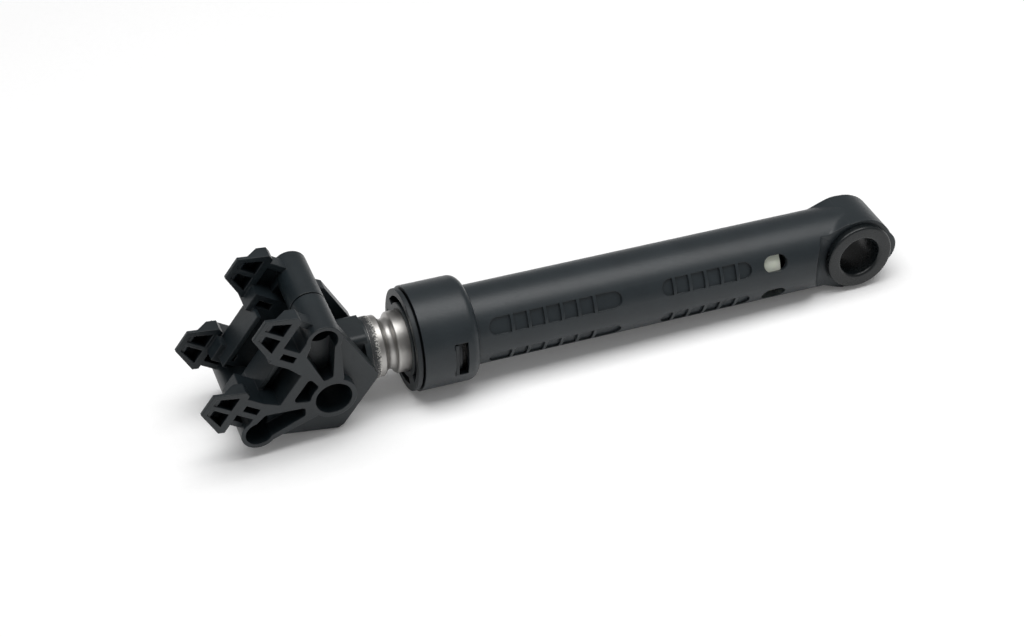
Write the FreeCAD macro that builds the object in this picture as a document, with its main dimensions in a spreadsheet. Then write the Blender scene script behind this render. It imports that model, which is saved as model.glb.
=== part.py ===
import FreeCAD
import Part
import Sketcher
import math
import os
import re

# Friction shock absorber of a washing machine, lying at rest.
# Millimetres. The origin is the centre of the eye, X runs along the rod towards the eye end,
# Y is the axis of the eye and Z is up. Lengths along the rod are counted from the eye centre.

doc = FreeCAD.newDocument("shock_absorber")
sheet = doc.addObject("Spreadsheet::Sheet", "sizes")

SIZES = [
    # fits shared by the pieces
    ("running_gap", 0.05),
    ("seat_gap", 0.05),
    ("free_gap", 0.4),
    ("parting_gap", 0.6),
    # steel tube rod
    ("rod_radius", 11.0),
    ("rod_wall", 1.0),
    ("rod_show", 16.2),
    ("rod_inner_end", 36.0),
    ("bead_place", 7.2),
    ("bead_round", 2.0),
    ("shoulder_round", 1.0),
    # moulded barrel, its walls counted outwards from the rod
    ("guide_wall", 1.0),
    ("barrel_wall", 2.4),
    ("lining_thick", 4.2),
    ("cap_wall", 1.6),
    ("collar_wall", 2.2),
    ("barrel_length", 171.8),
    ("collar_length", 21.0),
    ("collar_round", 3.4),
    ("collar_depth", 18.4),
    ("window_set", 15.9),
    ("window_length", 4.8),
    ("window_height", 13.4),
    # rows of shallow cells and the vent slots
    ("row_angle", 28.0),
    ("cell_width", 6.2),
    ("cell_depth", 1.0),
    ("cell_bar", 1.2),
    ("long_row_set", 25.6),
    ("long_row_end", 96.0),
    ("long_bar_set", 34.3),
    ("long_bar_pitch", 6.25),
    ("long_bar_count", 6),
    ("short_row_start", 80.4),
    ("short_row_end", 45.2),
    ("short_bar_first", 75.6),
    ("short_bar_pitch", 6.2),
    ("short_bar_count", 5),
    ("slot_start", 40.2),
    ("slot_end", 30.9),
    # eye and its bush, walls counted outwards from the bore of the bush
    ("bush_bore", 7.7),
    ("bush_wall", 3.3),
    ("bush_step", 1.9),
    ("bush_flange_thick", 2.7),
    ("bush_mouth", 0.9),
    ("eye_wall", 3.5),
    ("eye_half", 9.0),
    ("eye_nose_radius", 7.8),
    ("eye_nose_reach", 16.0),
    ("spot_room", 4.9),
    ("end_wall", 6.5),
    # snap-in cap and the lining
    ("cap_inset", 0.6),
    ("cap_flange_thick", 1.6),
    ("cap_line", 0.8),
    ("cap_mouth", 1.2),
    ("cap_sleeve_set", 14.2),
    ("channel_step", 2.2),
    ("channel_width", 2.7),
    ("channel_depth", 3.6),
    ("channel_rib", 6.0),
    ("spoke_high", 22.0),
    ("spoke_low", 228.0),
    ("lug_set", 12.4),
    ("lug_length", 1.2),
    ("lug_height", 12.4),
    ("lug_inset", 0.5),
    ("lining_set", 2.5),
    ("lining_end_set", 17.6),
    # guide bush on the inner end of the rod
    ("guide_length", 9.0),
    ("guide_head", 3.2),
    ("guide_plug_wall", 1.6),
    # moulded head of the rod
    ("plug_length", 20.0),
    ("head_step", 0.2),
    ("head_collar_thick", 2.2),
    ("neck_half_width", 7.0),
    ("neck_over", 0.2),
    ("neck_round", 2.4),
    ("neck_reach", 17.6),
    ("head_eye_over", 0.6),
    # bracket: lengths along the hooks, across them, and outwards from its middle plane
    ("rod_turn", 5.0),
    ("bracket_lift", 34.0),
    ("bracket_half", 20.8),
    ("cell_floor_set", 6.4),
    ("plate_set", 4.0),
    ("block_deep", 8.8),
    ("arm_inner", 7.6),
    ("web_thick", 2.0),
    ("trunnion_radius", 8.0),
    ("trunnion_wall", 1.5),
    ("ring_wall", 0.3),
    ("boss_wall", 1.8),
    ("tube_along", 17.3),
    ("tube_across", 21.2),
    ("tube_shift", 0.8),
    ("tube_radius", 6.3),
    ("tube_wall", 1.5),
    ("tube_part", 2.6),
    ("spigot_radius", 3.0),
    ("spigot_length", 5.0),
    ("spigot_wall", 3.0),
    ("plate_back", 13.4),
    ("plate_back_half", 10.8),
    ("plate_corner", 12.9),
    ("plate_shoulder", 12.4),
    ("plate_round", 0.8),
    ("plate_tip_along", 14.0),
    ("plate_tip_across", 25.6),
    ("rear_tip_along", 5.4),
    ("rear_tip_across", 21.8),
    ("rib_foot_along", 1.5),
    ("rib_foot_across", 8.9),
    ("rib_tip_along", 12.7),
    ("rib_tip_across", 24.3),
    ("cross_rib_inner", 13.3),
    ("cross_rib_outer", 17.0),
    ("knot_along", 23.0),
    ("knot_shoulder_across", 18.2),
    ("arm_shift", 1.8),
    ("arm_low", 8.0),
    ("arm_high", 15.2),
    ("arm_end", 31.0),
    ("side_foot_along", 5.6),
    ("side_foot_across", 9.0),
    ("side_tip_along", 13.6),
    ("side_tip_over", 1.2),
    ("side_top_beyond", 3.4),
    ("side_top_under", 3.2),
    ("side_heel_along", 19.6),
    ("side_heel_across", 13.4),
    ("side_root_along", 7.6),
    ("side_root_across", 6.1),
    ("ring_cell_along", 6.5),
    ("ring_cell_wide", 5.6),
    ("ring_cell_narrow", 2.9),
    ("cell_round", 1.2),
    ("nose_along", 41.5),
    ("nose_half", 4.2),
    ("nose_thick", 1.3),
    ("taper_along", 38.2),
    ("barb_along", 31.6),
    ("barb_back", 29.6),
    ("barb_slope", 1.0),
    ("barb_half", 9.4),
    ("hook_across", 16.8),
    ("hook_thick", 5.0),
    ("hook_floor", 0.9),
    ("hook_rib", 1.7),
    ("back_rib", 2.8),
    ("taper_start", 34.6),
    ("rear_hook_set", 8.0),
    ("tie_low", 21.4),
    ("tie_high", 23.6),
    ("tie_set", 3.0),
    ("slot_along", 25.6),
    ("slot_across", 11.9),
    ("slot_length", 5.6),
    ("slot_width", 2.5),
    ("wall_along", 22.9),
    ("wall_thick", 1.6),
    ("rear_wall_along", 28.8),
    ("rear_wall_inner", 2.7),
    ("wall_top", 13.4),
]
NAMES = [name for name, value in SIZES]
for row, (name, value) in enumerate(SIZES, 1):
    sheet.set("A%d" % row, name)
    sheet.set("B%d" % row, str(value))
    sheet.setAlias("B%d" % row, name)
doc.recompute()


def formula(text):
    """Sheet names in a formula are written out with the sheet they belong to."""
    return re.sub(r"[a-z_]+", lambda m: "sizes." + m.group(0) if m.group(0) in NAMES else m.group(0), text)


def value(text):
    return float(sheet.evalExpression(formula(text)))


def bind(item, **settings):
    for prop, text in settings.items():
        item.setExpression(prop.replace("__", "."), formula(text))
    return item


def add(kind, name):
    return doc.addObject(kind, name)


ALONG_X = FreeCAD.Rotation(FreeCAD.Vector(0, 1, 0), 90)
ALONG_Y = FreeCAD.Rotation(FreeCAD.Vector(1, 0, 0), -90)


def round_x(name, radius, start, end):
    """Cylinder along the rod axis between two lengths."""
    item = add("Part::Cylinder", name)
    item.Placement = FreeCAD.Placement(FreeCAD.Vector(), ALONG_X)
    return bind(item, Radius=radius, Height="(%s) - (%s)" % (end, start), Placement__Base__x=start)


def cone_x(name, radius, radius_end, start, end):
    item = add("Part::Cone", name)
    item.Placement = FreeCAD.Placement(FreeCAD.Vector(), ALONG_X)
    return bind(item, Radius1=radius, Radius2=radius_end, Height="(%s) - (%s)" % (end, start),
                Placement__Base__x=start)


def round_y(name, radius, start, end, x="0"):
    """Cylinder along the eye axis between two lengths."""
    item = add("Part::Cylinder", name)
    item.Placement = FreeCAD.Placement(FreeCAD.Vector(), ALONG_Y)
    return bind(item, Radius=radius, Height="(%s) - (%s)" % (end, start),
                Placement__Base__x=x, Placement__Base__y=start)


def ring_x(name, radius, minor, x):
    item = add("Part::Torus", name)
    item.Placement = FreeCAD.Placement(FreeCAD.Vector(), ALONG_X)
    return bind(item, Radius1=radius, Radius2=minor, Placement__Base__x=x)


def block(name, x, y, z):
    """Box given by the two ends of each of its sides."""
    item = add("Part::Box", name)
    return bind(item, Length="(%s) - (%s)" % (x[1], x[0]), Width="(%s) - (%s)" % (y[1], y[0]),
                Height="(%s) - (%s)" % (z[1], z[0]),
                Placement__Base__x=x[0], Placement__Base__y=y[0], Placement__Base__z=z[0])


def join(name, *items):
    item = add("Part::MultiFuse", name)
    item.Shapes = list(items)
    item.Refine = True
    return item


def cut(name, base, tool):
    item = add("Part::Cut", name)
    item.Base = base
    item.Tool = tool
    item.Refine = True
    return item


def mirror(name, source, normal):
    item = add("Part::Mirroring", name)
    item.Source = source
    item.Normal = FreeCAD.Vector(*normal)
    return item


def rounded(name, source, radius, chosen):
    """Rounds the edges of a solid that the given test picks."""
    doc.recompute()
    picked = [(n, radius, radius) for n, edge in enumerate(source.Shape.Edges, 1) if chosen(edge)]
    item = add("Part::Fillet", name)
    item.Base = source
    item.Edges = picked
    return item


NEAR = 0.01


def rim(axis, place):
    """Test for the round edges whose centre lies at a place along an axis."""
    def test(edge):
        if edge.Curve.TypeId != "Part::GeomCircle":
            return False
        return abs(getattr(edge.Curve.Center, axis) - place) < NEAR
    return test


def upright(edge):
    """Straight edges that run along the thickness of a bracket prism."""
    if edge.Curve.TypeId != "Part::GeomLine":
        return False
    return abs(edge.tangentAt(edge.FirstParameter).z) > 0.99


def outline(name, corners):
    """Closed sketch through corners whose two coordinates are formulas of the sheet."""
    sketch = add("Sketcher::SketchObject", name + "_outline")
    points = [FreeCAD.Vector(value(h), value(v), 0) for h, v in corners]
    count = len(points)
    for n in range(count):
        sketch.addGeometry(Part.LineSegment(points[n], points[(n + 1) % count]), False)
    for n in range(count):
        sketch.addConstraint(Sketcher.Constraint("Coincident", n, 2, (n + 1) % count, 1))
    for n, (h, v) in enumerate(corners):
        across = sketch.addConstraint(Sketcher.Constraint("DistanceX", -1, 1, n, 1, points[n].x))
        sketch.setExpression("Constraints[%d]" % across, formula(h))
        up = sketch.addConstraint(Sketcher.Constraint("DistanceY", -1, 1, n, 1, points[n].y))
        sketch.setExpression("Constraints[%d]" % up, formula(v))
    return sketch


def extrude(name, sketch, direction, length):
    item = add("Part::Extrusion", name)
    item.Base = sketch
    item.DirMode = "Custom"
    item.Dir = FreeCAD.Vector(*direction)
    item.Solid = True
    return bind(item, LengthFwd=length)


def prism(name, corners, outer, inner):
    """Outline in the plane of the bracket, given thickness from its outer to its inner side."""
    sketch = bind(outline(name, corners), Placement__Base__z="-(%s)" % outer)
    return extrude(name, sketch, (0, 0, 1), "(%s) - (%s)" % (outer, inner))


def profile(name, corners, reach):
    """Outline along the hooks and outwards from the middle plane, reaching across to both sides."""
    sketch = outline(name, [(h, "-(%s)" % w) for h, w in corners])
    sketch.Placement.Rotation = FreeCAD.Rotation(FreeCAD.Vector(1, 0, 0), 90)
    bind(sketch, Placement__Base__y="-(%s)" % reach)
    return extrude(name, sketch, (0, 1, 0), "2 * (%s)" % reach)


def pillar(name, radius, along, across, outer, inner):
    """Round boss of the bracket, from its outer to its inner side."""
    item = add("Part::Cylinder", name)
    return bind(item, Radius=radius, Height="(%s) - (%s)" % (outer, inner),
                Placement__Base__x=along, Placement__Base__y=across, Placement__Base__z="-(%s)" % outer)


def both(name, corners, outer, inner, shift="0"):
    """A prism above the hook line of the bracket and its image below, the pair moved down by a shift."""
    upper = prism(name + "_upper", [(h, "(%s) - %s" % (v, shift)) for h, v in corners], outer, inner)
    lower = prism(name + "_lower", [(h, "-(%s) - %s" % (v, shift)) for h, v in corners], outer, inner)
    return [upper, lower]


def common(name, first, second):
    item = add("Part::MultiCommon", name)
    item.Shapes = [first, second]
    item.Refine = True
    return item


# Places along the rod that follow from the length of the barrel.
rod_outer_end = "(barrel_length + rod_show)"
pivot = "(barrel_length + rod_show + neck_reach)"
lining_end = "(barrel_length - lining_end_set)"

# Radii that follow from the rod, from the bush and from the head.
barrel_bore_radius = "(rod_radius + guide_wall)"
barrel_radius = "(rod_radius + guide_wall + barrel_wall)"
collar_bore_radius = "(rod_radius + lining_thick + cap_wall)"
collar_radius = "(rod_radius + lining_thick + cap_wall + collar_wall)"
eye_seat_radius = "(bush_bore + bush_wall)"
eye_radius = "(bush_bore + bush_wall + eye_wall)"
neck_half_height = "(rod_radius + neck_over)"
trunnion_bore = "(trunnion_radius - trunnion_wall)"
tube_bore = "(tube_radius - tube_wall)"

# Depths of the bracket, all counted inwards from its outer face.
plate_face = "(bracket_half - plate_set)"
cell_floor = "(bracket_half - cell_floor_set)"
block_inner = "(bracket_half - block_deep)"
tie_outer = "(bracket_half - tie_set)"
rear_hook_face = "(bracket_half - rear_hook_set)"

# Barrel: one moulding with a wide collar for the lining and a cross eye at the closed end.
# The eye stands across the tube, its sides are spot-faced for the flanges of the bush.
barrel_tube = round_x("barrel_tube", barrel_radius, "1 - barrel_length", "0")
collar_blank = round_x("collar_blank", collar_radius, "-barrel_length", "collar_length - barrel_length")
collar = rounded("collar_rounded", collar_blank, value("collar_round"),
                 rim("x", value("collar_length - barrel_length")))
eye_blank = round_y("eye_blank", eye_radius, "-eye_half", "eye_half")
eye_nose = round_y("eye_nose", "eye_nose_radius", "-eye_half", "eye_half",
                   "eye_nose_reach - eye_nose_radius")
barrel_blank = join("barrel_blank", barrel_tube, collar, eye_blank, eye_nose)

barrel_bore = round_x("barrel_bore_cut", barrel_bore_radius, "-barrel_length - 1",
                      "-%s - end_wall" % eye_radius)
collar_bore = round_x("collar_bore_cut", collar_bore_radius, "-barrel_length - 1",
                      "collar_depth - barrel_length")
eye_seat = round_y("eye_seat_cut", eye_seat_radius, "-2 * eye_half", "2 * eye_half")
spot_front = round_y("spot_front", eye_radius + " + spot_room", "-3 * eye_half", "-eye_half")
spot_rear = mirror("spot_rear", spot_front, (0, 1, 0))
window = block("window_cut", ("window_set - window_length - barrel_length", "window_set - barrel_length"),
               ("-2 * " + collar_radius, "2 * " + collar_radius),
               ("-window_height / 2", "window_height / 2"))


def oblong(name, start, end, floor):
    """Rounded slot along the rod, cut inwards from the front down to a given radius."""
    depth = ("-2 * " + barrel_radius, "-(%s)" % floor)
    half = "cell_width / 2"
    body = block(name + "_middle", ("%s - (%s)" % (half, start), "-(%s) - %s" % (end, half)), depth,
                 ("-" + half, half))
    left = round_y(name + "_left", half, depth[0], depth[1], "%s - (%s)" % (half, start))
    right = round_y(name + "_right", half, depth[0], depth[1], "-(%s) - %s" % (end, half))
    return join(name, body, left, right)


def ladder(name, start, end, first, pitch, count):
    """Row of shallow cells with the bars between them left standing."""
    bars = []
    for n in range(int(value(count))):
        middle = "%d * %s - %s" % (n, pitch, first)
        width = (middle + " - cell_bar / 2", middle + " + cell_bar / 2")
        bars.append(block("%s_bar%d" % (name, n + 1), width, ("-3 * " + barrel_radius, "0"),
                          ("-cell_width", "cell_width")))
    return cut(name, oblong(name + "_field", start, end, barrel_radius + " - cell_depth"),
               join(name + "_bars", *bars))


row = join("row_cut",
           ladder("long_row", "barrel_length - long_row_set", "long_row_end",
                  "(barrel_length - long_bar_set)",
                  "long_bar_pitch", "long_bar_count"),
           ladder("short_row", "short_row_start", "short_row_end", "short_bar_first", "short_bar_pitch",
                  "short_bar_count"),
           oblong("vent_slot", "slot_start", "slot_end", barrel_bore_radius + " / 2"))
row.Placement.Rotation = FreeCAD.Rotation(FreeCAD.Vector(1, 0, 0), -value("row_angle"))
row_low = mirror("row_low", row, (0, 0, 1))
rows_front = join("rows_front", row, row_low)
rows_rear = mirror("rows_rear", rows_front, (0, 1, 0))
barrel = cut("barrel", barrel_blank,
             join("barrel_cuts", barrel_bore, collar_bore, eye_seat, spot_front, spot_rear, window,
                  rows_front, rows_rear))

# Bush of the eye: soft sleeve with a flange over each side of the eye and a wide mouth to its bore.
bush_end = "(eye_half + free_gap / 4 + bush_flange_thick)"
bush_flange = eye_seat_radius + " + bush_step"
bush_blank = join("bush_blank",
                  round_y("bush_body", eye_seat_radius + " - seat_gap", "-" + bush_end, bush_end),
                  round_y("bush_flange_front", bush_flange, "-" + bush_end, "-eye_half - free_gap / 4"),
                  round_y("bush_flange_rear", bush_flange, "eye_half + free_gap / 4", bush_end))
bush_hole = round_y("bush_hole", "bush_bore", "-2 * eye_half", "2 * eye_half")
bush_turned = cut("bush_turned", bush_blank, bush_hole)
bush_front = rounded("bush_front", bush_turned, value("bush_mouth"), rim("y", value("-" + bush_end)))
eye_bush = rounded("eye_bush", bush_front, value("bush_mouth"), rim("y", value(bush_end)))

# Guide cap: snaps into the collar with two lugs, guides the rod and closes the lining chamber.
cap_back = "(-barrel_length - cap_line)"
cap_front = "(-barrel_length - cap_line - cap_flange_thick)"
flange = round_x("cap_flange", collar_radius + " - cap_inset", cap_front, cap_back)
sleeve = round_x("cap_sleeve", collar_bore_radius + " - seat_gap", cap_back + " - 1",
                 "cap_sleeve_set - barrel_length")
lug = block("cap_lug", ("lug_set - lug_length - barrel_length", "lug_set - barrel_length"),
            ("lug_inset - " + collar_radius, collar_radius + " - lug_inset"),
            ("-lug_height / 2", "lug_height / 2"))
lug_core = round_x("cap_lug_core", collar_bore_radius + " - cap_wall", "lining_set - barrel_length",
                   "-" + lining_end)
channel_outer = "(rod_radius + channel_step + channel_width)"
channel_ring = cut("channel_ring",
                   round_x("channel_outer_cut", channel_outer, cap_front + " - 1",
                           cap_front + " + channel_depth"),
                   round_x("channel_core", "rod_radius + channel_step", cap_front + " - 2",
                           cap_front + " + 2 * channel_depth"))
spokes = []
for name in ("spoke_high", "spoke_low"):
    spoke = block(name + "_block", (cap_front + " - 3", cap_front + " + 2 * channel_depth"),
                  ("0", "2 * " + channel_outer), ("-channel_rib / 2", "channel_rib / 2"))
    carrier = add("Part::Compound", name + "_turned")
    carrier.Links = [spoke]
    carrier.Placement.Rotation = FreeCAD.Rotation(FreeCAD.Vector(1, 0, 0), value(name))
    spokes.append(carrier)
channel = cut("channel", channel_ring, join("channel_spokes", *spokes))
cap_hole = round_x("cap_hole", "rod_radius + running_gap", "-2 * barrel_length", "0")
cap_mouth = cone_x("cap_mouth_cone", "rod_radius + running_gap + cap_mouth", "rod_radius + running_gap",
                   cap_front,
                   cap_front + " + cap_mouth")
guide_cap = cut("guide_cap", join("cap_blank", flange, sleeve, lug),
                join("cap_cuts", lug_core, channel, cap_hole, cap_mouth))

# Friction lining: greased foam ring in the cap's sleeve, gripping the rod.
lining_blank = round_x("lining_blank", collar_bore_radius + " - cap_wall - seat_gap",
                       "lining_set + seat_gap - barrel_length",
                       "-" + lining_end)
friction_lining = cut("friction_lining", lining_blank,
                      round_x("lining_hole", "rod_radius + running_gap", "-2 * barrel_length", "0"))

# Piston rod: thin steel tube with one deep bead rolled in around the plug of the head.
bead_middle = "(bead_place - %s)" % rod_outer_end
bead_rims = [rim("x", value(bead_middle + side + "bead_round")) for side in (" - ", " + ")]
rod_blank = round_x("rod_blank", "rod_radius", "-" + rod_outer_end, "-rod_inner_end")
rod_rolled = cut("rod_rolled", rod_blank, ring_x("rod_groove", "rod_radius", "bead_round", bead_middle))
rod_outside = rounded("rod_outside", rod_rolled, value("shoulder_round"),
                      lambda e: any(test(e) for test in bead_rims))
rod_hollow = round_x("rod_hollow", "rod_radius - rod_wall", "-1 - " + rod_outer_end, "1 - rod_inner_end")
rod_inside = cut("rod_inside", rod_hollow, ring_x("rod_bulge", "rod_radius", "bead_round + rod_wall",
                                                  bead_middle))
piston_rod = cut("piston_rod", rod_outside, rod_inside)

# Guide bush: ring and plug on the inner end of the rod, running in the bore of the barrel.
guide_end = "(guide_head - rod_inner_end)"
guide_ring = round_x("guide_ring", barrel_bore_radius + " - running_gap", "-rod_inner_end - guide_length",
                     guide_end)
guide_room = cut("guide_room",
                 round_x("guide_room_outer", "rod_radius + running_gap", "-" + rod_outer_end,
                         "seat_gap - rod_inner_end"),
                 round_x("guide_room_core", "rod_radius - rod_wall - running_gap", "-1 - " + rod_outer_end,
                         "1 - rod_inner_end"))
guide_hollow = round_x("guide_hollow", "rod_radius - rod_wall - guide_plug_wall", "-" + rod_outer_end,
                       guide_end + " - guide_head / 2")
guide_bush = cut("guide_bush", guide_ring, join("guide_cuts", guide_room, guide_hollow))

# Rod head: plug held by the bead of the tube, round collar against its end, flat neck and cross eye.
head_collar_face = "(-%s - seat_gap)" % rod_outer_end
plug_blank = round_x("plug_blank", "rod_radius - rod_wall - seat_gap", head_collar_face + " - 1",
                     "plug_length - " + rod_outer_end)
head_plug = cut("head_plug", plug_blank,
                ring_x("plug_groove", "rod_radius", "bead_round + rod_wall + seat_gap", bead_middle))
head_collar = round_x("head_collar", "rod_radius + head_step", head_collar_face + " - head_collar_thick",
                      head_collar_face)
neck_block = block("neck_block", ("-" + pivot, head_collar_face + " - head_collar_thick / 2"),
                   ("-neck_half_width", "neck_half_width"), ("-" + neck_half_height, neck_half_height))


def along_rod(edge):
    return edge.Curve.TypeId == "Part::GeomLine" and abs(edge.tangentAt(edge.FirstParameter).x) > 0.99


neck = rounded("neck_rounded", neck_block, value("neck_round"), along_rod)
head_eye = round_y("head_eye", neck_half_height + " + head_eye_over", "-neck_half_width", "neck_half_width",
                   "-" + pivot)
head_blank = join("head_blank", head_plug, head_collar, neck, head_eye)
head_bore = round_y("head_bore", "trunnion_radius + running_gap", "-2 * neck_half_width",
                    "2 * neck_half_width",
                    "-" + pivot)
rod_head = cut("rod_head", head_blank, head_bore)
rod_head.Placement.Rotation = FreeCAD.Rotation(FreeCAD.Vector(1, 0, 0), value("rod_turn"))

# Bracket: two mouldings that plug together around the rod's head, the rear one the image of the front
# one except for its hooks, whose pocketed sides face the same way as those of the front.
# The outline lies in the plane of the hooks, lengths along them are counted from the pivot.


def bracket_half(node, rear):
    """One half: plate, ribs, ring with trunnion, two cross tubes and two snap hooks."""
    def tag(word):
        return "%s_%s" % (node, word)

    short_across = "-tube_across - tube_shift" if rear else "tube_across - tube_shift"
    long_across = "tube_across - tube_shift" if rear else "-tube_across - tube_shift"
    inward = "+" if rear else "-"
    outward = "-" if rear else "+"
    face = rear_hook_face if rear else "bracket_half"
    wall_place = "rear_wall_along" if rear else "wall_along"
    wall_inner = "rear_wall_inner" if rear else "parting_gap"
    tip_along = "rear_tip_along" if rear else "plate_tip_along"
    tip_across = "rear_tip_across" if rear else "plate_tip_across"

    plate_flat = prism(tag("plate_flat"), [
        ("-plate_back", "plate_back_half - tube_shift"), ("-plate_shoulder", "plate_corner - tube_shift"),
        (tip_along, tip_across + " - tube_shift"), ("tube_along", "tube_across - tube_shift"),
        ("cross_rib_outer", "arm_low"), ("cross_rib_outer", "-arm_low"),
        ("tube_along", "-tube_across - tube_shift"), (tip_along, "-%s - tube_shift" % tip_across),
        ("-plate_shoulder", "-plate_corner - tube_shift"),
        ("-plate_back", "-plate_back_half - tube_shift")],
        plate_face, block_inner)
    plate = rounded(tag("plate"), plate_flat, value("plate_round"),
                    lambda e: upright(e) and e.BoundBox.XMax < 0)
    ribs = prism(tag("ribs"), [
        ("rib_foot_along", "rib_foot_across"), ("rib_tip_along", "rib_tip_across - tube_shift"),
        ("knot_along", "knot_shoulder_across"), ("knot_along", "arm_low - arm_shift"),
        ("cross_rib_outer", "arm_low - arm_shift - cell_round"),
        ("cross_rib_outer", "cell_round - arm_low - arm_shift"),
        ("knot_along", "-arm_low - arm_shift"), ("knot_along", "-knot_shoulder_across - arm_shift"),
        ("rib_tip_along", "-rib_tip_across - tube_shift"), ("rib_foot_along", "-rib_foot_across")],
        "bracket_half", block_inner)
    ring = pillar(tag("ring"), "trunnion_radius + ring_wall", "0", "0", "bracket_half", block_inner)
    boss = pillar(tag("boss"), "trunnion_radius + boss_wall", "0", "0", cell_floor,
                  "neck_half_width + free_gap")
    trunnion = pillar(tag("trunnion"), "trunnion_radius", "0", "0", "bracket_half", "parting_gap")
    arms = both(tag("arm"), [
        ("cross_rib_inner", "arm_low"), ("arm_end", "arm_low"), ("arm_end", "arm_high"),
        ("cross_rib_inner", "arm_high")], "bracket_half", "arm_inner", "arm_shift")
    ties = both(tag("tie"), [
        ("barb_back + hook_rib", "tie_low"), ("barb_back + hook_rib", "tie_high"),
        ("tube_along", "tie_high"),
        ("tube_along", "tie_low")], tie_outer, rear_hook_face)
    web = prism(tag("web"), [
        ("cross_rib_inner", "arm_low"), (wall_place, "arm_low"), (wall_place, "-arm_high"),
        ("cross_rib_inner", "-arm_high")], "arm_inner + web_thick", "arm_inner")
    wall = prism(tag("wall"), [
        (wall_place + " - wall_thick", "arm_low"), (wall_place, "arm_low"),
        (wall_place, "-arm_high"), (wall_place + " - wall_thick", "-arm_high")], "wall_top", wall_inner)
    cross_rib = prism(tag("cross_rib"), [
        ("cross_rib_inner", "arm_low"), ("cross_rib_outer", "arm_low"), ("cross_rib_outer", "-arm_high"),
        ("cross_rib_inner", "-arm_high")], "bracket_half", "arm_inner")
    short_tube = pillar(tag("short_tube"), "tube_radius", "tube_along", short_across, "bracket_half",
                        "tube_part")
    long_tube = pillar(tag("long_tube"), "tube_radius", "tube_along", long_across, "bracket_half",
                       "parting_gap - tube_part")
    spigot = pillar(tag("spigot"), "spigot_radius", "tube_along", short_across, "bracket_half / 2",
                    "tube_part - spigot_length")

    arrows = both(tag("arrow"), [
        ("nose_along", "hook_across - nose_half"), ("nose_along", "hook_across + nose_half"),
        ("barb_along", "hook_across + barb_half"), ("barb_back", "hook_across + barb_half - barb_slope"),
        ("barb_back", "hook_across - barb_half + barb_slope"), ("barb_along", "hook_across - barb_half")],
        "bracket_half", "arm_inner")
    hook_side = profile(tag("hook_side"), [
        ("barb_back", face), ("nose_along", face), ("nose_along", "%s %s nose_thick" % (face, inward)),
        ("taper_along", "%s %s nose_thick" % (face, inward)),
        ("taper_start", "%s %s hook_thick" % (face, inward)),
        ("barb_back", "%s %s hook_thick" % (face, inward))], "2 * plate_tip_across")
    hooks = common(tag("hooks"), join(tag("arrows"), *arrows), hook_side)
    blank = join(tag("blank"), plate, ribs, ring, boss, trunnion, web, wall, cross_rib, short_tube,
                 long_tube, spigot,
                 hooks, *(arms + ties))

    side_cells = both(tag("side_cell_sharp"), [
        ("side_foot_along", "side_foot_across"), ("side_tip_along", "tube_across + side_tip_over"),
        ("tube_along + side_top_beyond", "tube_across - side_top_under"),
        ("side_heel_along", "side_heel_across"), ("side_root_along", "side_root_across")],
        "bracket_half + 1", cell_floor, "tube_shift")
    ring_cell = prism(tag("ring_cell_sharp"), [
        ("cross_rib_inner", "ring_cell_wide - tube_shift"),
        ("ring_cell_along", "ring_cell_narrow - tube_shift"),
        ("ring_cell_along", "-ring_cell_narrow - tube_shift"),
        ("cross_rib_inner", "-ring_cell_wide - tube_shift")],
        "bracket_half + 1", cell_floor)
    ring_guard = pillar(tag("ring_guard"), "trunnion_radius + ring_wall", "0", "0", "bracket_half + 2", "0")
    cell_set = join(tag("cell_set"), ring_cell, *side_cells)
    cells = rounded(tag("cells"), cut(tag("cells_sharp"), cell_set, ring_guard), value("cell_round"),
                    upright)
    pockets = []
    for word, sign in (("high", "+"), ("low", "-")):
        pockets += both(tag("pocket_" + word), [
            ("nose_along - hook_rib", "hook_across %s hook_rib / 2" % sign),
            ("nose_along - hook_rib", "hook_across %s (nose_half - hook_rib / 2)" % sign),
            ("barb_back + back_rib", "hook_across %s (barb_half - back_rib)" % sign),
            ("barb_back + back_rib", "hook_across %s hook_rib / 2" % sign)],
            "bracket_half + 2", "arm_inner - 2")
    open_side = "%s %s 1" % (face, outward)
    nose_floor = "%s %s (nose_thick - hook_floor)" % (face, inward)
    barb_floor = "%s %s (hook_thick - hook_floor)" % (face, inward)
    pocket_side = profile(tag("pocket_side"), [
        ("barb_back", open_side), ("nose_along", open_side), ("nose_along", nose_floor),
        ("taper_along", nose_floor), ("taper_start", barb_floor), ("barb_back", barb_floor)],
        "2 * plate_tip_across")
    hook_cells = common(tag("hook_cells"), join(tag("pockets"), *pockets), pocket_side)
    slots = both(tag("slot"), [
        ("slot_along - slot_length / 2", "slot_across - slot_width / 2"),
        ("slot_along + slot_length / 2", "slot_across - slot_width / 2"),
        ("slot_along + slot_length / 2", "slot_across + slot_width / 2"),
        ("slot_along - slot_length / 2", "slot_across + slot_width / 2")], "bracket_half + 1", "0",
        "arm_shift")
    short_bore = pillar(tag("short_bore"), tube_bore, "tube_along", short_across, "bracket_half + 1",
                        "tube_part + spigot_wall")
    long_bore = pillar(tag("long_bore"), tube_bore, "tube_along", long_across, "bracket_half + 1",
                       "spigot_length")
    socket = pillar(tag("socket"), "spigot_radius + seat_gap", "tube_along", long_across, "bracket_half",
                    "-bracket_half")
    pivot_bore = pillar(tag("pivot_bore"), trunnion_bore, "0", "0", "bracket_half + 1", "-bracket_half")
    cuts = join(tag("cuts"), cells, hook_cells, short_bore, long_bore, socket, pivot_bore, *slots)
    if rear:
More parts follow.
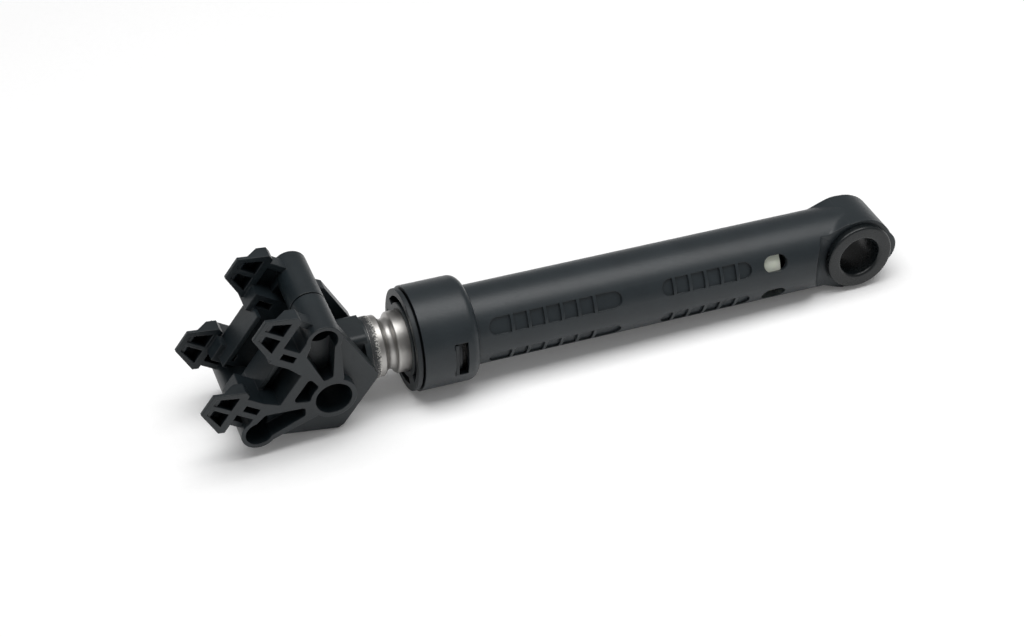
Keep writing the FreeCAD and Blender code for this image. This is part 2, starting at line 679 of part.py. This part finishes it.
        backs = both(tag("back"), [
            ("knot_along - wall_thick", "(arm_low + arm_high) / 2"),
            ("barb_back + hook_rib / 2", "(arm_low + arm_high) / 2"),
            ("barb_back + hook_rib / 2", "(tie_low + tie_high) / 2"),
            ("knot_along - wall_thick", "(tie_low + tie_high) / 2")],
            tie_outer + " - wall_thick / 2", tie_outer + " - 3 * wall_thick / 2")
        blank = mirror(tag("blank_image"), join(tag("backed_blank"), blank, *backs), (0, 0, 1))
        cuts = mirror(tag("cuts_image"), cuts, (0, 0, 1))
    half = cut(node, blank, cuts)
    lift = math.radians(value("bracket_lift"))
    hook_frame = FreeCAD.Matrix(-math.cos(lift), math.sin(lift), 0, 0, 0, 0, 1, 0, math.sin(lift),
                                math.cos(lift), 0, 0)
    turn = FreeCAD.Placement(FreeCAD.Vector(), FreeCAD.Rotation(FreeCAD.Vector(1, 0, 0), value("rod_turn")))
    at_pivot = FreeCAD.Placement(FreeCAD.Vector(-value(pivot), 0, 0), FreeCAD.Rotation())
    half.Placement = at_pivot.multiply(turn).multiply(FreeCAD.Placement(hook_frame))
    return half


bracket_front = bracket_half("bracket_front", False)
bracket_rear = bracket_half("bracket_rear", True)

doc.recompute()
NODES = [barrel, eye_bush, guide_cap, friction_lining, piston_rod, guide_bush, rod_head, bracket_front,
         bracket_rear]
for item in doc.Objects:
    if "Invalid" in item.State or "Error" in item.State:
        raise RuntimeError("not computed: " + item.Name)
os.makedirs("parts", exist_ok=True)
for node in NODES:
    node.Label = node.Name
    if node.Shape.isNull() or not node.Shape.isValid() or len(node.Shape.Solids) != 1:
        raise RuntimeError("%s has %d solids" % (node.Name, len(node.Shape.Solids)))
    node.Shape.exportStep("parts/%s.step" % node.Name)
    box = node.Shape.BoundBox
    print("%-16s volume %9.1f  x %7.1f %7.1f  y %6.1f %6.1f  z %6.1f %6.1f" % (
        node.Name, node.Shape.Volume, box.XMin, box.XMax, box.YMin, box.YMax, box.ZMin, box.ZMax))
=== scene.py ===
import bpy
import numpy as np
from mathutils import Matrix


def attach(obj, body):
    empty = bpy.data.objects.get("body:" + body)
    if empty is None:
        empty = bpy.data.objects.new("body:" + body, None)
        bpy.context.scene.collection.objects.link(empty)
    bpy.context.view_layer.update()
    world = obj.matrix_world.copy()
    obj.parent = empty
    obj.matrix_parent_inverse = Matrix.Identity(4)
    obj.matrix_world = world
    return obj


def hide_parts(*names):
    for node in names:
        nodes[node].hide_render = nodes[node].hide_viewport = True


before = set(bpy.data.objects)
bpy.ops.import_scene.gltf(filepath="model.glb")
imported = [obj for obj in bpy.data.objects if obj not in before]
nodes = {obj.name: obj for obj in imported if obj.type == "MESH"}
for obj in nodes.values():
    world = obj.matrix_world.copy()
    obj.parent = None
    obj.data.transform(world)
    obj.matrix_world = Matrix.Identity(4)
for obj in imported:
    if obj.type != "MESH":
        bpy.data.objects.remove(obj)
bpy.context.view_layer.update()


# Barrel: one long moulding in black glass-filled polypropylene, with its collar, cell rows and cross eye.
# It comes from a spark-eroded mould, so it is an even satin black with a fine dull grain.
# The real grain is about 0.1 mm, drawn at 0.7 mm so that it shows.
def linear(code):
    """Linear colour of an sRGB hex value, with full alpha."""
    srgb = np.array([int(code[n:n + 2], 16) for n in (1, 3, 5)]) / 255
    low = srgb / 12.92
    high = ((srgb + 0.055) / 1.055) ** 2.4
    return (*np.where(srgb <= 0.04045, low, high), 1.0)


def put(tree, kind, links=None, values=None, **settings):
    """Adds a node: settings go on its properties, values on its sockets, links join sockets to outputs."""
    node = tree.nodes.new(kind)
    for name, given in settings.items():
        setattr(node, name, given)
    for socket, given in (values or {}).items():
        node.inputs[socket].default_value = given
    for socket, output in (links or {}).items():
        tree.links.new(output, node.inputs[socket])
    return node


def new_finish(name):
    """Empty node material, with its tree and the object's own coordinates in metres."""
    material = bpy.data.materials.new(name)
    material.use_nodes = True
    tree = material.node_tree
    tree.nodes.clear()
    return material, tree, put(tree, "ShaderNodeTexCoord").outputs["Object"]


def between(tree, share, dark, pale):
    """Colour that runs from a dark hex value to a pale one as the share goes from 0 to 1."""
    colours = {6: linear(dark), 7: linear(pale)}
    return put(tree, "ShaderNodeMix", {0: share}, colours, data_type="RGBA").outputs[2]


def spread(tree, value, start=0.0, end=1.0, low=0.0, high=1.0):
    """Value carried from the range start to end over to the range low to high, and held there."""
    limits = {"From Min": start, "From Max": end, "To Min": low, "To Max": high}
    return put(tree, "ShaderNodeMapRange", {"Value": value}, limits).outputs[0]


def per_metre(millimetres):
    """Texture scale whose pattern repeats about every so many millimetres."""
    return 1000 / millimetres


# Painted shade for the black plastics: ambient occlusion within this reach fades colour to this near-black
# and drops the shine to the lower level in hollows.
painted_shade_reach, painted_shade_black = 0.006, "#06080a"
painted_shade_shine, open_shine = 0.1, 0.42


def moulded_black(name, dark, pale, smooth, dull, grain, depth, edge):
    """Cloudy shade between two blacks, roughness from smooth to dull, eroded grain and soft edges.

    Grain, its depth and the edges' radius are in millimetres. In closed-in hollows colour and shine fade out:
    this is painted shade, with darker colour and less shine wherever ambient occlusion finds other surfaces
    close by.
    """
    material, tree, place = new_finish(name)
    cloud = put(tree, "ShaderNodeTexNoise", {"Vector": place},
                {"Scale": per_metre(14), "Detail": 4.0, "Roughness": 0.6}).outputs["Fac"]
    pores = put(tree, "ShaderNodeTexNoise", {"Vector": place},
                {"Scale": per_metre(grain), "Detail": 3.0, "Roughness": 0.7}).outputs["Fac"]
    plain = between(tree, spread(tree, cloud, 0.3, 0.7), dark, pale)
    # Painted shade: the occlusion factor darkens the colour and lowers the shine where surfaces close in.
    clear = put(tree, "ShaderNodeAmbientOcclusion", None, {"Distance": painted_shade_reach}, samples=8).outputs["AO"]
    unshaded_share = spread(tree, clear, 0.15, 0.6)
    colour = put(tree, "ShaderNodeMix", {0: unshaded_share, 7: plain}, {6: linear(painted_shade_black)},
                 data_type="RGBA").outputs[2]
    shine = spread(tree, unshaded_share, low=painted_shade_shine, high=open_shine)
    gloss = spread(tree, pores, 0.3, 0.7, smooth, dull)
    soft = put(tree, "ShaderNodeBevel", None, {"Radius": edge / 1000}, samples=6).outputs[0]
    rough = put(tree, "ShaderNodeBump", {"Height": pores, "Normal": soft},
                {"Strength": 0.35, "Distance": depth / 1000}).outputs[0]
    skin = put(tree, "ShaderNodeBsdfPrincipled",
               {"Base Color": colour, "Roughness": gloss, "Normal": rough, "Specular IOR Level": shine},
               {"IOR": 1.5}).outputs[0]
    put(tree, "ShaderNodeOutputMaterial", {"Surface": skin})
    return material


def dress(node, material):
    """Gives every material slot of a frame node the same finish."""
    mesh = nodes[node].data
    mesh.materials.clear()
    mesh.materials.append(material)


barrel_plastic = moulded_black("polypropylene_eroded_black", dark="#1a2125", pale="#22292d",
                               smooth=0.34, dull=0.46, grain=0.7, depth=0.04, edge=0.45)
dress("barrel", barrel_plastic)

# Eye corners: the moulded fillets where the barrel runs into its cross eye, one above and one below.
# They are part of the barrel's own moulding and take its material.
barrel_radius, eye_radius, eye_half = 0.0144, 0.0145, 0.0090
corner_blend, corner_sink, corner_fade, corner_deep = 0.0055, 0.00005, 0.0045, 0.0015
corner_least = 1e-7
crease = np.radians(35)


def closed_grid(name, points, material, body, capped=False):
    """Closed mesh of a grid of points: columns run round and close; rows close too, or end in flat caps."""
    rows, columns = points.shape[:2]
    here = np.arange(rows * columns).reshape(rows, columns)
    beside = np.roll(here, -1, 1)
    quads = np.stack([here, beside, np.roll(beside, -1, 0), np.roll(here, -1, 0)], 2)
    quads = quads[:rows - capped].reshape(-1, 4)
    faces = quads.tolist()
    if capped:
        faces += [here[0, ::-1].tolist(), here[-1].tolist()]
    flat = points.reshape(-1, 3)
    mesh = bpy.data.meshes.new(name)
    mesh.from_pydata(flat.tolist(), [], faces)
    a, b, c, d = np.moveaxis(flat[quads], 1, 0)
    if np.einsum("ij,ij->i", a, np.cross(b, c) + np.cross(c, d)).sum() < 0:
        mesh.flip_normals()
    mesh.shade_smooth()
    mesh.set_sharp_from_angle(angle=crease)
    mesh.materials.append(material)
    piece = bpy.data.objects.new(name, mesh)
    bpy.context.scene.collection.objects.link(piece)
    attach(piece, body)
    return piece


def eye_corner(side, along_count=90, across_count=121):
    """Height is the smooth maximum of the barrel's arc across and the eye's arc along.

    The width of the blend grows with the square of the way out to the sides, and fades out at the eye's top.
    """
    x = np.linspace(-eye_radius, 0.0, along_count)[:, None]
    y = np.linspace(-1, 1, across_count)[None, :] * (eye_half - corner_sink)
    barrel_arc = np.sqrt(barrel_radius ** 2 - y ** 2) + 0 * x
    eye_arc = np.sqrt(eye_radius ** 2 - x ** 2) + 0 * y
    ease = np.clip(-x / corner_fade, 0, 1) ** 2
    blend = corner_blend * (y / eye_half) ** 2 * ease + corner_least
    near = np.clip(blend - np.abs(barrel_arc - eye_arc), 0, None)
    skin = np.maximum(barrel_arc, eye_arc)
    top = skin + near ** 2 / (4 * blend) - corner_sink
    low = skin - corner_deep
    grid = np.broadcast_arrays(x + 0 * y, y + 0 * x)
    upper = np.stack([*grid, side * top], 2)
    lower = np.stack([*grid, side * low], 2)
    return np.concatenate([upper, lower[:, ::-1]], 1)


for word, side in (("upper", 1), ("lower", -1)):
    closed_grid("barrel_eye_corner_" + word, eye_corner(side), barrel_plastic, "barrel",
                capped=True)

# Eye coves: the moulded hollows where the barrel's side runs down to the face of the eye, front and rear.
# They are part of the barrel's own moulding and keep clear of the bush's flange.
cove_rim, cove_foot, cove_turn, cove_lift, cove_deep = 0.0194, 0.0132, 35.0, 0.00002, 0.0003


def eye_cove(side, round_count=90, across_count=40):
    """Quarter ellipse from the barrel's arc at the rim to the eye's face at the foot, swept round the eye."""
    turn = np.radians(np.linspace(-cove_turn, cove_turn, round_count))[:, None]
    arc = np.radians(np.linspace(0, 90, across_count))[None, :]
    reach = cove_foot + (cove_rim + corner_sink - cove_foot) * np.cos(arc)
    height = np.sqrt(barrel_radius ** 2 - (cove_rim * np.sin(turn)) ** 2) - corner_sink - eye_half
    rise = np.clip(height, 0, None) * (1 - np.sin(arc)) + cove_lift
    x, z = -reach * np.cos(turn), reach * np.sin(turn)
    outer = np.stack([x, side * (eye_half + rise), z], 2)
    inner = np.stack([x, side * (eye_half - cove_deep) + 0 * rise, z], 2)
    return np.concatenate([outer, inner[:, ::-1]], 1)


for word, side in (("front", -1), ("rear", 1)):
    closed_grid("barrel_eye_cove_" + word, eye_cove(side), barrel_plastic, "barrel",
                capped=True)

# Eye bush: flanged sleeve in black polyurethane, pressed through the eye.
# It leaves a polished mould, so its bore and lip are glossier than the barrel.
bush_elastomer = moulded_black("polyurethane_moulded_black", dark="#0e1214", pale="#14191b",
                               smooth=0.24, dull=0.36, grain=1.1, depth=0.01, edge=0.3)
bush_bore, bush_seat, bush_rim = 0.0077, 0.01095, 0.0129
bush_plain, bush_inner, bush_end = 0.005, 0.0091, 0.0118
mouth_round, lip_round = 0.0014, 0.0009


def quarter(centre, radius, start, count=9):
    """Quarter circle of section points, counted on from the start angle in degrees."""
    turn = np.radians(start + np.linspace(0, 90, count))
    return list(zip(centre[0] + radius * np.cos(turn), centre[1] + radius * np.sin(turn)))


def turned(section, axis, count=180):
    """Ring swept by a closed section (place along the axis, radius) round the x or y axis."""
    along, radius = np.array(section).T
    turn = np.linspace(0, 2 * np.pi, count, endpoint=False)[:, None]
    ring = [along + 0 * turn, radius * np.cos(turn), radius * np.sin(turn)]
    return np.stack(ring if axis == "x" else [ring[1], ring[0], ring[2]], 2)


half_section = [(0.0, bush_bore), (bush_plain, bush_bore),
                *quarter((bush_end - mouth_round, bush_bore + mouth_round), mouth_round, -90),
                *quarter((bush_end - lip_round, bush_rim - lip_round), lip_round, 0),
                (bush_inner, bush_rim), (bush_inner, bush_seat), (0.0, bush_seat)]
other_half = [(-place, radius) for place, radius in half_section[::-1][1:-1]]
bush = closed_grid("eye_bush_turned", turned(half_section + other_half, "y"), bush_elastomer, "barrel")
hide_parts("eye_bush")

# Guide cap: snapped into the collar round the rod, in black acetal.
# Its mould is eroded more coarsely, so it is a little duller than the barrel.
cap_acetal = moulded_black("acetal_moulded_black", dark="#141a1e", pale="#1a2124",
                           smooth=0.46, dull=0.58, grain=0.8, depth=0.03, edge=0.35)
dress("guide_cap", cap_acetal)

# Cap hub: the guide cap's inner ring, flush with its face and close round the rod.
# Moulded with the cap, it narrows the channel and fills the lead-in of the bore.
hub_bore, hub_rim, hub_face, hub_foot, hub_round = 0.01108, 0.0134, -0.1743, -0.1704, 0.0003
hub_section = [*quarter((hub_face + hub_round, hub_bore + hub_round), hub_round, 180),
               (hub_foot, hub_bore), (hub_foot, hub_rim),
               *quarter((hub_face + hub_round, hub_rim - hub_round), hub_round, 90)]
closed_grid("guide_cap_hub", turned(hub_section, "x"), cap_acetal, "barrel")

# Friction lining: a greased ring of open polyurethane foam inside the cap's sleeve, gripping the rod.
# The cells are about 0.6 mm and grease fills the lower ones, so it is dark and wet.
foam, tree, place = new_finish("polyurethane_foam_greased")
cells = put(tree, "ShaderNodeTexVoronoi", {"Vector": place}, {"Scale": per_metre(0.6)}).outputs["Distance"]
tint = between(tree, cells, "#0b0b09", "#181713")
wet = spread(tree, cells, low=0.3, high=0.8)
holes = put(tree, "ShaderNodeBump", {"Height": cells}, {"Strength": 0.8, "Distance": 0.0003}).outputs[0]
pad = put(tree, "ShaderNodeBsdfPrincipled",
          {"Base Color": tint, "Roughness": wet, "Normal": holes}).outputs[0]
put(tree, "ShaderNodeOutputMaterial", {"Surface": pad})
dress("friction_lining", foam)

# Piston rod: drawn steel tube with bright zinc plating, its bead rolled in over the plug of the head.
# Tumbling leaves it smooth, with a faint cloudiness and hardly any lines.
zinc, tree, place = new_finish("steel_zinc_plated")
cloud = put(tree, "ShaderNodeTexNoise", {"Vector": place},
            {"Scale": per_metre(5), "Detail": 3.0}).outputs["Fac"]
tint = between(tree, cloud, "#9c9a97", "#b6b4b1")
gloss = spread(tree, cloud, 0.3, 0.7, 0.35, 0.43)
plate = put(tree, "ShaderNodeBsdfPrincipled", {"Base Color": tint, "Roughness": gloss},
            {"Metallic": 1.0}).outputs[0]
put(tree, "ShaderNodeOutputMaterial", {"Surface": plate})
dress("piston_rod", zinc)

# Rough band: the last millimetres of the tube against the head's collar, left knurled and unpolished.
# Dark grease fills its hollows, and bare zinc sparkles on the crests, most towards the polished tube.
band_start, band_end, band_radius, band_crest, band_foot = -0.18795, -0.1851, 0.01102, 0.0002, 0.0104
band_edge_share, knurl_seed = 1 / 6, 11


def knurled_band(round_count=420, along_count=22):
    """Ring whose section runs along the crests and back inside the tube's wall.

    The crests are seeded noise, each the mean of itself and two neighbours, and run out at both edges.
    """
    hills = np.random.default_rng(knurl_seed).random((round_count, along_count))
    hills = (hills + np.roll(hills, 1, 0) + np.roll(hills, 1, 1)) / 3
    share = np.linspace(0, 1, along_count)
    edge = np.clip(np.minimum(share, 1 - share) / band_edge_share, 0, 1)
    turn = np.linspace(0, 2 * np.pi, round_count, endpoint=False)[:, None]
    crest = band_radius + band_crest * hills * edge
    along = band_start + (band_end - band_start) * share + 0 * turn
    outer = np.stack([along, crest * np.cos(turn), crest * np.sin(turn)], 2)
    foot = band_foot + 0 * along
    inner = np.stack([along, foot * np.cos(turn), foot * np.sin(turn)], 2)
    return np.concatenate([outer, inner[:, ::-1]], 1)


matt_zinc, tree, place = new_finish("zinc_knurled_greasy")
along = put(tree, "ShaderNodeSeparateXYZ", {0: place}).outputs["X"]
clean = spread(tree, along, band_start, band_end, -0.26, 0.1)
speck = put(tree, "ShaderNodeTexNoise", {"Vector": place},
            {"Scale": per_metre(0.5), "Detail": 3.0, "Roughness": 0.8}).outputs["Fac"]
crest = put(tree, "ShaderNodeMath", {0: speck, 1: clean}, operation="ADD").outputs[0]
bare = spread(tree, crest, 0.46, 0.62)
tint = between(tree, bare, "#26282a", "#d6d4cf")
gloss = spread(tree, speck, low=0.6, high=0.3)
grit = put(tree, "ShaderNodeBump", {"Height": speck}, {"Strength": 0.9, "Distance": 0.0002}).outputs[0]
crust = put(tree, "ShaderNodeBsdfPrincipled",
            {"Base Color": tint, "Metallic": bare, "Roughness": gloss, "Normal": grit}).outputs[0]
put(tree, "ShaderNodeOutputMaterial", {"Surface": crust})
closed_grid("rod_rough_band", knurled_band(), matt_zinc, "rod")

# Guide bush: ring and plug on the inner end of the rod, in natural acetal.
# Uncoloured acetal is milky white and lets a little light in; its end shows through a vent slot.
natural, tree, place = new_finish("acetal_natural")
cloud = put(tree, "ShaderNodeTexNoise", {"Vector": place},
            {"Scale": per_metre(3), "Detail": 3.0}).outputs["Fac"]
tint = between(tree, cloud, "#cfd6c3", "#e8ebdf")
gloss = spread(tree, cloud, low=0.25, high=0.45)
milk = put(tree, "ShaderNodeBsdfPrincipled", {"Base Color": tint, "Roughness": gloss},
           {"Subsurface Weight": 0.3, "Subsurface Scale": 0.002,
            "Subsurface Radius": (1.0, 1.0, 0.8)}).outputs[0]
put(tree, "ShaderNodeOutputMaterial", {"Surface": milk})
dress("guide_bush", natural)

# Rod head: plug, collar, flat neck and cross eye in one black polyamide moulding, held by the rolled bead.
# Glass fibre near the skin makes it a shade duller than the bracket that pivots on it.
head_polyamide = moulded_black("polyamide_glass_filled_black", dark="#12191d", pale="#192124",
                               smooth=0.4, dull=0.54, grain=0.7, depth=0.05, edge=0.4)
dress("rod_head", head_polyamide)

# Bracket: two ribbed mouldings in black polyamide, plugged together round the head, with snap hooks.
# A fresh smooth moulding: satin faces, and edges rounded enough to carry a thin line of light.
bracket_polyamide = moulded_black("polyamide_moulded_black", dark="#12191d", pale="#192125",
                                  smooth=0.34, dull=0.48, grain=0.8, depth=0.04, edge=0.55)
dress("bracket_front", bracket_polyamide)
dress("bracket_rear", bracket_polyamide)

# Floor: plain white sweep. It slopes a little, because the collar and the eye both rest on it.
# The camera sees it as white paper with the part's own soft shadow, white as far as the sheet goes.
collar_low, eye_low = (-0.1546, -0.0190), (0.0, -0.0145)
slope = (eye_low[1] - collar_low[1]) / (eye_low[0] - collar_low[0])
reach = 6.0
corner_x = np.array([-reach, reach, reach, -reach])
corner_y = np.array([-reach, -reach, reach, reach])
corners = np.stack([corner_x, corner_y, eye_low[1] + slope * corner_x], 1)
sheet = bpy.data.meshes.new("floor")
sheet.from_pydata(corners.tolist(), [], [[0, 1, 2, 3]])
floor = bpy.data.objects.new("floor", sheet)
bpy.context.scene.collection.objects.link(floor)
paper, tree, place = new_finish("paper_white")
fibre = put(tree, "ShaderNodeTexNoise", {"Vector": place},
            {"Scale": per_metre(2), "Detail": 2.0}).outputs["Fac"]
tint = between(tree, fibre, "#f4f4f4", "#fafafa")
matt = put(tree, "ShaderNodeBsdfDiffuse", {"Color": tint}).outputs[0]
ray = put(tree, "ShaderNodeLightPath").outputs
seen = ray["Is Camera Ray"]
for kind in ("Is Glossy Ray", "Is Transmission Ray"):
    seen = put(tree, "ShaderNodeMath", {0: seen, 1: ray[kind]}, operation="MAXIMUM").outputs[0]
away = put(tree, "ShaderNodeVectorMath", {0: place}, operation="LENGTH").outputs["Value"]
need = spread(tree, away, 0.4, 2.0, 0.07, 0.8)
lift = put(tree, "ShaderNodeMath", {0: seen, 1: need}, operation="MULTIPLY").outputs[0]
glow = put(tree, "ShaderNodeEmission", {"Strength": lift}, {"Color": (1.0, 1.0, 1.0, 1.0)}).outputs[0]
both = put(tree, "ShaderNodeAddShader", {0: matt, 1: glow}).outputs[0]
put(tree, "ShaderNodeOutputMaterial", {"Surface": both})
sheet.materials.append(paper)


# Light: one wide soft box overhead, along the part, that lays a long highlight on the barrel.
# The rest of the room is a plain dim white, so hollows stay dark and the shadow stays close to the part.
def facing(place, aim, right):
    """Matrix at a place that looks at an aim, with its right hand as near as can be to a direction."""
    back = np.array(place) - np.array(aim)
    back = back / np.linalg.norm(back)
    up = np.cross(back, right)
    up = up / np.linalg.norm(up)
    turn = np.eye(4)
    turn[:3, :] = np.stack([np.cross(up, back), up, back, np.array(place)], 1)
    return Matrix(turn.tolist())


box_place, box_aim, box_right = (-0.13, -0.05, 1.05), (-0.11, 0.0, 0.0), (1.0, 0.0, 0.0)
box_length, box_width, box_power = 1.4, 0.7, 12.0
lamp = bpy.data.lights.new("key_box", "AREA")
lamp.shape = "RECTANGLE"
lamp.size, lamp.size_y, lamp.energy = box_length, box_width, box_power
key = bpy.data.objects.new("key_box", lamp)
key.matrix_world = facing(box_place, box_aim, box_right)
bpy.context.scene.collection.objects.link(key)
room = bpy.data.worlds.new("room")
bpy.context.scene.world = room
room.use_nodes = True
tree = room.node_tree
tree.nodes.clear()
haze = put(tree, "ShaderNodeBackground", None, {"Color": (1.0, 1.0, 1.0, 1.0), "Strength": 0.3}).outputs[0]
put(tree, "ShaderNodeOutputWorld", {"Surface": haze})

# Camera: where the photograph was taken from, about 0.8 m off and above, with a long lens.
# Its place, aim and level were fitted to the outlines of barrel, collar, eye and bracket.
camera_place, camera_aim = (-0.37149, -0.61561, 0.49110), (-0.13288, 0.0, -0.00147)
camera_right = (0.93388, -0.35756, 0.00551)
lens = bpy.data.cameras.new("camera")
lens.sensor_fit = "HORIZONTAL"
lens.sensor_width, lens.lens = 36.0, 81.38
lens.clip_start, lens.clip_end = 0.01, 50.0
eye = bpy.data.objects.new("camera", lens)
eye.matrix_world = facing(camera_place, camera_aim, camera_right)
bpy.context.scene.collection.objects.link(eye)
bpy.context.scene.camera = eye
bpy.context.scene.view_settings.view_transform = "Standard"
